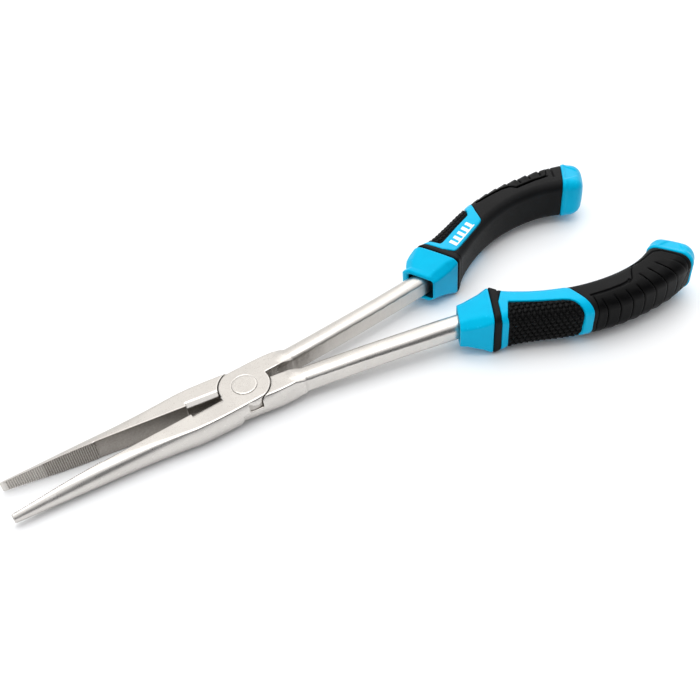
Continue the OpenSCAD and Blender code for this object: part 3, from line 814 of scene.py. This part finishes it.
def collar_field(back, out, z, flare):
    """Collar running back from its mouth; flare is how far the outer side swells, 0..1."""
    back_in = np.clip(back, 0, 13.2)

    def profile(stations, sizes):
        return np.interp(back_in, stations, sizes)

    across = out + 0.107 * back_in
    width_in = profile([0, 12.2, 13], [6.75, 10.05, 10.05])
    width_out = profile([0, 0.6, 1.7, 3.0, 4.5, 6.5, 9.0, 12.2, 13],
                        [7.9, 8.35, 8.45, 8.3, 9.3, 10.45, 10.95, 10.55, 10.1])
    width_out = flare * width_out + (1 - flare) * profile([0, 12.2, 13], [7.75, 10.15, 10.05])
    share = np.clip(across / 6.0 + 0.5, 0, 1)
    half_width = width_in + (width_out - width_in) * share
    height_out = profile([0, 0.6, 1.5, 2.8, 4.2, 7.5, 12.2, 13],
                         [6.3, 6.65, 6.75, 6.75, 7.15, 8.2, 9.8, 9.8])
    height_in = profile([0, 12.2, 13], [6.4, 9.8, 9.8])
    half_height = height_in + (height_out - height_in) * share * flare
    radius = profile([0, 3, 9, 13], [2.2, 2.8, 2.6, 1.9])
    crown = 1 - 0.035 * np.clip(across / half_width, -1.1, 1.1) ** 2
    collar = rounded_box(across, z / crown, half_width, half_height, radius)
    # flat chamfers along the four corners
    chamfer = profile([0, 3, 9, 13], [1.6, 2.0, 2.1, 1.3])
    collar = soft_max(collar, (np.abs(across) * 0.62 + np.abs(z) * 0.785)
                      - (half_width * 0.62 + half_height * 0.785 - chamfer), 0.6)
    collar = soft_max(collar, soft_max(-back, back - 13.0, 0.4), 0.5 + 0.5 * flare)
    # fine raised line low on the sides
    collar = collar - 0.06 * hump(z + 4.2, 0.12) * (np.abs(across) > half_width - 2)
    mouth = soft_max(np.abs(out + 0.45) - 5.85, np.abs(z) - 4.8, 1.6)
    mouth = soft_max(mouth, back - 9.0, 0.4)
    mouth = mouth - 0.35 * np.clip(1 - back / 0.7, 0, 1) ** 2
    return soft_max(collar, -mouth, 0.35)


def add_collar(side, flare):
    local, faces = skin(lambda *place: collar_field(*place, flare), spans((-0.4, 13.6, 0.26)),
                        spans((-12.3, 10.9, 0.26)), spans((-10.4, 10.4, 0.26)))
    back, out, z = local.T
    # painted shade: near-black inside the mouth, where the rod goes in
    in_mouth = (back > 1.0) & (np.abs(out + 0.45) < 6.0) & (np.abs(z) < 5.0)
    verts = in_plan(local, COLLAR_MOUTH, COLLAR_AXIS)
    add_piece(f"{side}_grip_collar", turn(verts, *GRIP_POSES[side]), faces, CYAN,
              f"{side}_half", f"{side}_collar",
              dull_and_shade=np.where(in_mouth, 0.93, 0.0))


def grip_mesh(field, along, out, z):
    verts, faces = skin(field, spans(along), spans(out), spans(z))
    return warp(verts), faces


def add_pair(name, mesh, material, node):
    verts, faces = mesh
    for side, pose in GRIP_POSES.items():
        add_piece(f"{side}_{name}", turn(verts, *pose), faces, material,
                  f"{side}_half", f"{side}_{node}")


add_collar("left", flare=0.1)
add_collar("right", flare=1.0)
add_pair("grip_shell", grip_mesh(shell_field, (-0.6, GRIP_LEN + 0.5, 0.33), (-11.0, 11.0, 0.3),
                                 (-10.5, 10.5, 0.3)), BLACK, "grip_body")
add_pair("grip_panel_frame", grip_mesh(frame_field, (0.2, 39.0, 0.28), (-9.9, 10.4, 0.28),
                                       (-10.3, 10.3, 0.28)), CYAN, "panel_frame")
add_pair("grip_scale_pad", grip_mesh(pad_field, (1.5, 37.0, 0.22), (-3.5, 9.9, 0.24),
                                     (-10.0, 10.0, 0.24)), PAD_RUBBER, "textured_pad")
add_pair("grip_rib_pad", grip_mesh(rib_field, (34.5, GRIP_LEN + 0.4, 0.26), (-8.5, 9.6, 0.28),
                                   (-10.3, 10.3, 0.28)), RIB_RUBBER, "rib_pad")
add_pair("grip_end_cap", cap_mesh(), CYAN, "end_cap")


# ---------------------------------------------------------------- printed bars
BAR_COUNT, BAR_PITCH, BAR_WIDTH, BAR_LEAN, BAR_LEN, LINE_WIDTH = 5, 3.5, 2, 0.6, 3.4, 0.6
MARK_START, MARK_HEADING = (-108.6, 10.6), math.radians(180 - 23.5)


def mark_outline():
    """Five slanted bars joined by a base line, as a plan outline."""
    length = (BAR_COUNT - 1) * BAR_PITCH + BAR_WIDTH + BAR_LEAN
    flat = [(0, LINE_WIDTH), (length, LINE_WIDTH), (length, 0)]
    for i in reversed(range(BAR_COUNT)):
        x = i * BAR_PITCH
        flat += [(x + BAR_WIDTH, 0), (x + BAR_WIDTH + BAR_LEAN, -BAR_LEN),
                 (x + BAR_LEAN, -BAR_LEN), (x, 0)]
    cos, sin = math.cos(MARK_HEADING), math.sin(MARK_HEADING)
    return [(MARK_START[0] + x * cos - y * sin, MARK_START[1] + x * sin + y * cos)
            for x, y in flat]


MARK = mark_outline()


def mark_field(along, out, z):
    """Thin print on the lower face, which is on top of the right grip."""
    x, y, _, base = locate(along, out, z)
    mark = soft_max(base - 0.42, outline_distance(x, y, MARK), 0.12)
    return soft_max(soft_max(mark, -(base - 0.27), 0.05), 5.0 + z, 0.1)


mark_verts, mark_faces = grip_mesh(mark_field, (3.5, 30, 0.16), (-7.5, 2.5, 0.16),
                                   (-9.9, -7.6, 0.08))
add_piece("right_grip_bars", turn(mark_verts, *GRIP_POSES["right"]), mark_faces, WHITE,
          "right_half", "right_grip_mark")

for side in GRIP_POSES:
    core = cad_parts[f"{side}_grip_core"]
    core.data.materials.clear()
    core.data.materials.append(CORE)


# ---------------------------------------------------------------- floor
def floor_material():
    """Pale floor, see-through from below."""
    shader = Shader("pale_floor")
    colour = shader.mix(shader.remap(shader.noise(scale=0.01)),
                        (0.93, 0.935, 0.945), (0.95, 0.955, 0.96))
    shader.link(colour, "Base Color")
    shader.set(Roughness=0.55, Specular_IOR_Level=0.25)
    surface = shader.node("ShaderNodeMixShader", {
        0: shader.node("ShaderNodeNewGeometry").outputs["Backfacing"],
        1: shader.bsdf.outputs[0],
        2: shader.node("ShaderNodeBsdfTransparent").outputs[0]})
    output = next(n for n in shader.tree.nodes if n.type == "OUTPUT_MATERIAL")
    shader.tree.links.new(surface.outputs[0], output.inputs[0])
    return shader.material


def add_floor(centre_x=-40.0, reach=3000.0, rest_x=-70.0, sink=0.08):
    """A sheet tilted along X so that it rises highest against the pliers at rest_x."""
    points = []
    for piece in pieces:
        coords = np.empty(len(piece.data.vertices) * 3, np.float32)
        piece.data.vertices.foreach_get("co", coords)
        points.append(coords.reshape(-1, 3)[:, [0, 2]] / MM)
    x, z = np.concatenate(points).T
    slopes = np.arange(0.0, 0.08, 0.0005)
    heights = [np.min(z - slope * (x - rest_x)) for slope in slopes]
    slope, rest_z = float(slopes[int(np.argmax(heights))]), float(max(heights))
    verts = [(x * MM, y * MM, (rest_z + slope * (x - rest_x) - sink) * MM)
             for x in (centre_x - reach, centre_x + reach) for y in (-reach, reach)]
    material = floor_material()
    mesh = bpy.data.meshes.new("floor")
    mesh.from_pydata(verts, [], [(0, 2, 3, 1)])
    mesh.materials.append(material)
    floor = bpy.data.objects.new("studio_floor", mesh)
    bpy.context.scene.collection.objects.link(floor)


add_floor()


# ---------------------------------------------------------------- world and lights
def build_world():
    world = bpy.data.worlds.new("studio")
    bpy.context.scene.world = world
    world.use_nodes = True
    tree = world.node_tree
    tree.nodes.clear()
    direction = add_node(tree, "ShaderNodeTexCoord", {}).outputs["Generated"]
    split = add_node(tree, "ShaderNodeSeparateXYZ", {0: direction})
    gradient = add_node(tree, "ShaderNodeValToRGB", {0: split.outputs["Z"]})
    stops = gradient.color_ramp.elements
    stops[0].position = 0.0
    stops[0].color = (0.18, 0.185, 0.2, 1)
    stops[1].position = 1.0
    stops[1].color = (1.0, 1.0, 1.0, 1)
    for position, colour in ((0.2, (0.24, 0.245, 0.26, 1)), (0.42, (0.66, 0.665, 0.68, 1)),
                             (0.7, (0.8, 0.805, 0.81, 1))):
        stops.new(position).color = colour
    sky = gradient.outputs[0]
    # blend, direction of the patch, cosines where it starts and is full, colour:
    # pale wall on -Y, dark card on +Y, warm tint high on -Y
    for blend, centre, start, full, colour in (
            ("LIGHTEN", (-0.3, -0.954, 0.0), 0.1, 0.8, (0.74, 0.745, 0.75, 1)),
            ("MIX", (-0.352, 0.872, 0.342), 0.8, 0.93, (0.05, 0.05, 0.055, 1)),
            ("MULTIPLY", (-0.31, -0.65, 0.69), 0.8, 0.97, (1.0, 0.975, 0.945, 1))):
        cosine = add_node(tree, "ShaderNodeVectorMath", {0: direction, 1: centre},
                          operation="DOT_PRODUCT").outputs["Value"]
        mask = add_node(tree, "ShaderNodeMapRange", {
            "From Min": start, "From Max": full, "Value": cosine},
            interpolation_type="SMOOTHSTEP").outputs["Result"]
        sky = add_node(tree, "ShaderNodeMixRGB", {0: mask, 1: sky, 2: colour},
                       blend_type=blend).outputs[0]
    background = add_node(tree, "ShaderNodeBackground", {"Color": sky, "Strength": 1.3})
    add_node(tree, "ShaderNodeOutputWorld", {0: background.outputs[0]})


def add_softbox(name, location, size, power, target=(-0.05, 0, 0)):
    """Square area light aimed at the target, in metres and watts."""
    light = bpy.data.lights.new(name, "AREA")
    light.shape = "RECTANGLE"
    light.size = light.size_y = size
    light.energy = power
    lamp = bpy.data.objects.new(name, light)
    lamp.location = location
    lamp.rotation_mode = "QUATERNION"
    aim = Vector(target) - Vector(location)
    lamp.rotation_quaternion = aim.to_track_quat("-Z", "Y")
    bpy.context.scene.collection.objects.link(lamp)


build_world()
add_softbox("key_overhead", location=(-0.1, -0.12, 1.0), size=0.75, power=3.3)
add_softbox("back_right", location=(-0.75, -0.65, 0.65), size=0.6, power=1.2)


# ---------------------------------------------------------------- camera
def add_camera(azimuth, elevation, roll, joint, lens):
    """Camera from its angles in degrees and the joint's centre in camera axes, in mm."""
    azimuth, elevation, roll = (math.radians(a) for a in (azimuth, elevation, roll))
    back = np.array([math.sin(azimuth) * math.cos(elevation),
                     -math.cos(azimuth) * math.cos(elevation), math.sin(elevation)])
    level = np.array([math.cos(azimuth), math.sin(azimuth), 0.0])
    rise = np.cross(back, level)
    axes = np.array([math.cos(roll) * level + math.sin(roll) * rise,
                     -math.sin(roll) * level + math.cos(roll) * rise, back])
    data = bpy.data.cameras.new("camera")
    data.sensor_width = 36.0
    data.lens = lens
    data.clip_start = 0.01
    data.clip_end = 50.0
    camera = bpy.data.objects.new("camera", data)
    bpy.context.scene.collection.objects.link(camera)
    matrix = np.eye(4)
    matrix[:3, :3] = axes.T
    matrix[:3, 3] = (-axes.T @ np.array(joint) + np.array([0, 0, MID_Z])) * MM
    camera.matrix_world = Matrix(matrix.tolist())
    bpy.context.scene.camera = camera


add_camera(azimuth=153.916, elevation=44.803, roll=-5.827,
           joint=(-39.105432, -16.100246, -341.08), lens=46.6416)
bpy.context.scene.view_settings.view_transform = "Standard"
bpy.context.scene.view_settings.look = "None"
